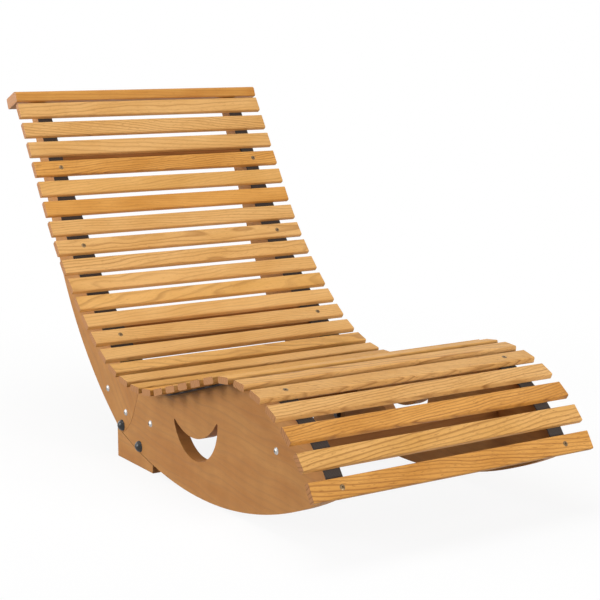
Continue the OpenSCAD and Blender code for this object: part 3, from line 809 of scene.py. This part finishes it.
class LoungerWood(bpy.types.PropertyGroup):
    seed: bpy.props.IntProperty(
        name="Seed", description="Picks the boards that the slats are sawn from", default=34721
    )
    grain: bpy.props.FloatProperty(
        name="Grain", description="Strength of the slats' grain, as a multiple", default=1.0
    )
    ease: bpy.props.FloatProperty(
        name="Easing", description="Radius of the side frames' edges", default=1.3 * MM, unit="LENGTH"
    )
    panel_pale: bpy.props.StringProperty(
        name="Panel pale tone", description="Paler ground colour of the side frames", default="#CC9254"
    )
    panel_deep: bpy.props.StringProperty(
        name="Panel deep tone", description="Deeper ground colour of the side frames", default="#BF8247"
    )
    panel_line: bpy.props.StringProperty(
        name="Panel grain", description="Colour of the side frames' late wood", default="#A06A3A"
    )


class LoungerStraps(bpy.types.PropertyGroup):
    thick: bpy.props.FloatProperty(
        name="Thickness", description="Thickness of the webbing", default=3.2 * MM, unit="LENGTH"
    )
    wide: bpy.props.FloatProperty(
        name="Full width", description="Width under the seat", default=50 * MM, unit="LENGTH"
    )
    narrow: bpy.props.FloatProperty(
        name="Narrow width", description="Width at the head and foot", default=33 * MM, unit="LENGTH"
    )
    sag: bpy.props.FloatProperty(
        name="Sag", description="How far the webbing sags between two slats",
        default=0.15 * MM, unit="LENGTH",
    )


class LoungerStudio(bpy.types.PropertyGroup):
    camera_place: bpy.props.FloatVectorProperty(
        name="Camera place", description="Where the camera stands", default=(-1.5548, -2.51647, 0.85),
        subtype="TRANSLATION", unit="LENGTH",
    )
    camera_azimuth: bpy.props.FloatProperty(
        name="Camera azimuth", description="Turn of the view from the +Y direction",
        default=math.radians(-32.827), subtype="ANGLE",
    )
    camera_drop: bpy.props.FloatProperty(
        name="Camera drop", description="How far the camera looks down",
        default=math.radians(9.999), subtype="ANGLE",
    )
    camera_lens: bpy.props.FloatProperty(
        name="Focal length", description="Focal length in mm on a 36 mm sensor",
        default=90.046, unit="CAMERA",
    )
    key_power: bpy.props.FloatProperty(
        name="Key light", description="Power of the large soft light above", default=56.0, unit="POWER"
    )
    side_power: bpy.props.FloatProperty(
        name="Side light", description="Power of the soft light on the left side",
        default=82.0, unit="POWER",
    )
    front_power: bpy.props.FloatProperty(
        name="Front light", description="Power of the low soft light at the foot",
        default=104.0, unit="POWER",
    )
    fill_power: bpy.props.FloatProperty(
        name="Fill lights", description="Power of each weak light behind the head and on the right",
        default=30.0, unit="POWER",
    )
    world_strength: bpy.props.FloatProperty(
        name="Room light", description="Strength of the even light from all around", default=0.2
    )


class LOUNGER_OT_slats(bpy.types.Operator):
    """Gives each slat and the head bar its own piece of oiled hardwood."""

    bl_idname = "lounger.slats"
    bl_label = "Finish slats"

    def execute(self, context):
        props = context.scene.lounger_wood
        rng = np.random.default_rng(props.seed)
        for number, (y, z, heading) in enumerate(SLAT_PLACES, 1):
            place = ((0.0, (y + SHIFT_Y_MM) * MM, z * MM), (heading + math.pi, 0.0, 0.0))
            # Where the pith is in the slat's frame, behind it and to one side, and how it leans.
            side = rng.choice([-1, 1])
            pith = (rng.uniform(-3, 3), side * rng.uniform(0.012, 0.07), -rng.uniform(0.02, 0.07))
            lean = (0.0, math.radians(rng.uniform(-3, 3)), math.radians(side * rng.uniform(1.4, 7.0)))
            ring_mm, contrast = rng.uniform(4.5, 7.5), rng.uniform(0.35, 0.85)
            tones = SLAT_TONES[rng.integers(len(SLAT_TONES))]
            if number >= FIRST_BOLD_SLAT:
                contrast = BOLD_CONTRAST
            material = wood(
                f"oiled_acacia_{number:02d}", place, (pith, lean), tones,
                ring_mm=ring_mm, wave_mm=8.5, contrast=contrast * props.grain, rough=0.55,
            )
            NODES[f"slat_{number:02d}"].data.materials[0] = material
        material = wood(
            "oiled_acacia_bar",
            place=(BAR_MIDDLE, (BAR_TILT, 0.0, 0.0)),
            log=((0.4, 0.05, -0.09), (0.0, 0.02, 0.03)),
            colours=BAR_TONES, ring_mm=6.0, wave_mm=4.0, contrast=0.4, rough=0.5,
        )
        NODES["head_bar"].data.materials[0] = material
        return {"FINISHED"}


class LOUNGER_OT_frames(bpy.types.Operator):
    """Gives the side frames, stop blocks, rails and dowels their smooth tan hardwood."""

    bl_idname = "lounger.frames"
    bl_label = "Finish side frames"

    def execute(self, context):
        props = context.scene.lounger_wood
        colours = (props.panel_pale, props.panel_deep, props.panel_line)
        for k, (piece, angle) in enumerate(PANEL_GRAIN.items()):
            # Local X along the grain: a quarter turn about Z, then the grain's own slope.
            turn = (0.0, math.radians(-angle), math.radians(90))
            for side, x_mm in (("left", -SIDE_X_MM), ("right", SIDE_X_MM)):
                # The rim of 0.35 is painted shade on the rounded edges, which darkens the side frames'
                # seams.
                material = wood(
                    f"oiled_eucalyptus_{side}_{piece}",
                    place=((x_mm * MM, 0.0, 0.1 * k), turn),
                    log=((0.3 * k, 0.05, -0.13), (0.0, 0.02, 0.05)),
                    colours=colours, ring_mm=14.0, wave_mm=14.0, contrast=0.3, rough=0.6,
                    mottle=0.03, rim=0.35,
                )
                board = eased(f"{side}_{piece}_board", f"{side}_{piece}", props.ease)
                finish(board, material, "panel_wood", f"{side}_{piece}")
        for k, rail in enumerate(RAILS):
            # Each rail is turned about its grain and taken from further along the log than the one before.
            low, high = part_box(rail)
            middle = [(a + b) / 2 for a, b in zip(low, high)]
            material = wood(
                f"oiled_eucalyptus_{rail}",
                place=(middle, (0.7 * k, 0.0, 0.0)),
                log=((k, 0.03, -0.05), (0.0, 0.02, 0.03)),
                colours=RAIL_TONES, ring_mm=7.0, wave_mm=6.0, contrast=0.4, rough=0.6,
            )
            NODES[rail].data.materials[0] = material
        dowel = wood(
            "bare_beech_dowel",
            place=((0, 0, 0), (0, 0, 0)),
            log=((0, 0.05, 0), (0, 0, 0)),
            colours=DOWEL_TONES, ring_mm=2.0, wave_mm=2.0, contrast=0.3, rough=0.65,
        )
        for node in ("rail_dowels", "head_dowels"):
            NODES[node].data.materials[0] = dowel
        return {"FINISHED"}


class LOUNGER_OT_straps(bpy.types.Operator):
    """Lays a woven strap behind the slats on each side frame."""

    bl_idname = "lounger.straps"
    bl_label = "Add straps"

    def execute(self, context):
        material = webbing()
        for name, side in (("left", -1), ("right", 1)):
            obj, length, area = strap_ribbon(f"{name}_webbing", side)
            finish(obj, material, "strap_webbing", f"{name}_strap")
        return {"FINISHED"}


class LOUNGER_OT_hardware(bpy.types.Operator):
    """Adds the turned screws and caps, and finishes the bolts, nuts and washers."""

    bl_idname = "lounger.hardware"
    bl_label = "Add hardware"

    def execute(self, context):
        bronze = metal("bronze_coated_steel", ("#8E7450", "#6A5236"), metallic=0.7, rough=0.4, scratch=0.2)
        zinc = metal("zinc_plated_steel", ("#C2C0BC", "#A6A4A1"), metallic=1.0, rough=0.46, scratch=0.15)
        black = metal("black_oxide_steel", ("#3A3430", "#2A2522"), metallic=0.5, rough=0.5, scratch=0.2)
        slat_places = []
        for number in SCREWED_SLATS:
            y, z, heading = SLAT_PLACES[number - 1]
            out = np.array((0.0, math.sin(heading), -math.cos(heading)))
            down = np.array((0.0, math.cos(heading), math.sin(heading)))
            for x in (-SIDE_X_MM, SIDE_X_MM):
                seat = np.array((x, y, z)) + SLAT_THICK_MM * out
                slat_places.append((seat, out, np.array((1, 0, 0)), down))
        screws = turned(
            "slat_screw_set",
            profile=[(1.4, -45.0), (2.0, -44.2), (2.0, -3.0), (4.9, -0.1), (5.0, 0.0)],
            head=(10.0, 0.6), socket=(2.0, 2.0), places=slat_places,
        )
        finish(screws, bronze, "bronze_screw", "slat_screws")
        screws = turned(
            "rail_screw_set",
            profile=[(1.8, -62.0), (2.5, -61.0), (2.5, 0.0), (6.7, 0.0), (6.75, 0.1)],
            head=(13.5, 3.8), socket=(2.5, 1.9), places=side_places(RAIL_SCREWS_MM),
        )
        finish(screws, zinc, "zinc_steel", "rail_screws")
        # The caps are hollow below, so their profile starts over the bolt's head.
        caps = turned(
            "bolt_cap_set",
            profile=[(0.3, 3.6), (6.1, 3.6), (6.1, 0.0), (11.6, 0.0), (11.75, 0.15)],
            head=(23.5, 9.5), socket=(0.3, 0.0), places=side_places(BOLTS_MM),
        )
        finish(caps, cap_plastic(), "cap_plastic", "bolt_caps")
        for node in ("joint_bolts", "joint_washers", "joint_nuts"):
            NODES[node].data.materials[0] = black
        return {"FINISHED"}


class LOUNGER_OT_studio(bpy.types.Operator):
    """Adds the pale floor, the soft studio light and the camera."""

    bl_idname = "lounger.studio"
    bl_label = "Add studio"

    def execute(self, context):
        props = context.scene.lounger_studio
        self.add_floor()
        context.scene.world = room_light(props.world_strength)
        for name, (place, size, power) in LAMPS.items():
            self.add_light(name, place, size, getattr(props, power))
        self.add_camera(context, props)
        context.scene.view_settings.view_transform = "Standard"
        return {"FINISHED"}

    def add_floor(self):
        """Disc of rings: radius grows with the square of the ring's number, so the middle is finer."""
        rings, around = 24, 96
        radii = FLOOR_RADIUS_MM * (np.arange(1, rings + 1) / rings) ** 2
        turns = np.linspace(0, 2 * np.pi, around, endpoint=False)
        radius, turn = np.meshgrid(radii, turns, indexing="ij")
        points = np.stack([radius * np.cos(turn), radius * np.sin(turn) - SHIFT_Y_MM, 0 * radius], axis=-1)
        points = np.concatenate([points.reshape(-1, 3), [[0.0, -SHIFT_Y_MM, 0.0]]])
        faces = ring_faces(rings, around)[:, ::-1].tolist()
        middle = rings * around
        faces += [(middle, k, (k + 1) % around) for k in range(around)]
        floor = mesh_object("floor", points, faces)
        floor.data.materials.append(floor_paint())

    def add_light(self, name, place, size, power):
        """Square area light aimed at the middle of the seat."""
        data = bpy.data.lights.new(name, "AREA")
        data.shape, data.size, data.energy = "SQUARE", size, power
        light = linked(name, data)
        aim = np.array(LAMP_AIM) - np.array(place)
        level = math.hypot(aim[0], aim[1])
        light.location = place
        light.rotation_euler = (math.atan2(level, -aim[2]), 0.0, math.atan2(-aim[0], aim[1]))

    def add_camera(self, context, props):
        """Camera that looks down by its drop and is turned from the +Y direction by its azimuth."""
        data = bpy.data.cameras.new("camera")
        data.sensor_width, data.lens, data.clip_end = 36.0, props.camera_lens, 60.0
        camera = linked("camera", data)
        camera.location = props.camera_place
        camera.rotation_euler = (math.pi / 2 - props.camera_drop, 0.0, props.camera_azimuth)
        context.scene.camera = camera


class LOUNGER_PT_panel(bpy.types.Panel):
    """Lists the lounger's steps and sizes."""

    bl_idname = "LOUNGER_PT_panel"
    bl_label = "Rocking lounger"
    bl_space_type = "VIEW_3D"
    bl_region_type = "UI"
    bl_category = "Lounger"

    def draw(self, context):
        for operator in OPERATORS:
            self.layout.operator(operator.bl_idname)
        for key, group in GROUPS.items():
            box = self.layout.box()
            for field in group.__annotations__:
                box.prop(getattr(context.scene, key), field)


GROUPS = {
    "lounger_wood": LoungerWood,
    "lounger_straps": LoungerStraps,
    "lounger_studio": LoungerStudio,
}
OPERATORS = (LOUNGER_OT_slats, LOUNGER_OT_frames, LOUNGER_OT_straps, LOUNGER_OT_hardware, LOUNGER_OT_studio)
CLASSES = (*GROUPS.values(), *OPERATORS, LOUNGER_PT_panel)


def register():
    for cls in CLASSES:
        bpy.utils.register_class(cls)
    for key, group in GROUPS.items():
        setattr(bpy.types.Scene, key, bpy.props.PointerProperty(type=group))


def unregister():
    for key in GROUPS:
        delattr(bpy.types.Scene, key)
    for cls in reversed(CLASSES):
        bpy.utils.unregister_class(cls)


def main():
    """Runs every step in order."""
    register()
    bpy.ops.lounger.slats()
    bpy.ops.lounger.frames()
    bpy.ops.lounger.straps()
    bpy.ops.lounger.hardware()
    bpy.ops.lounger.studio()


if __name__ == "__main__":
    main()
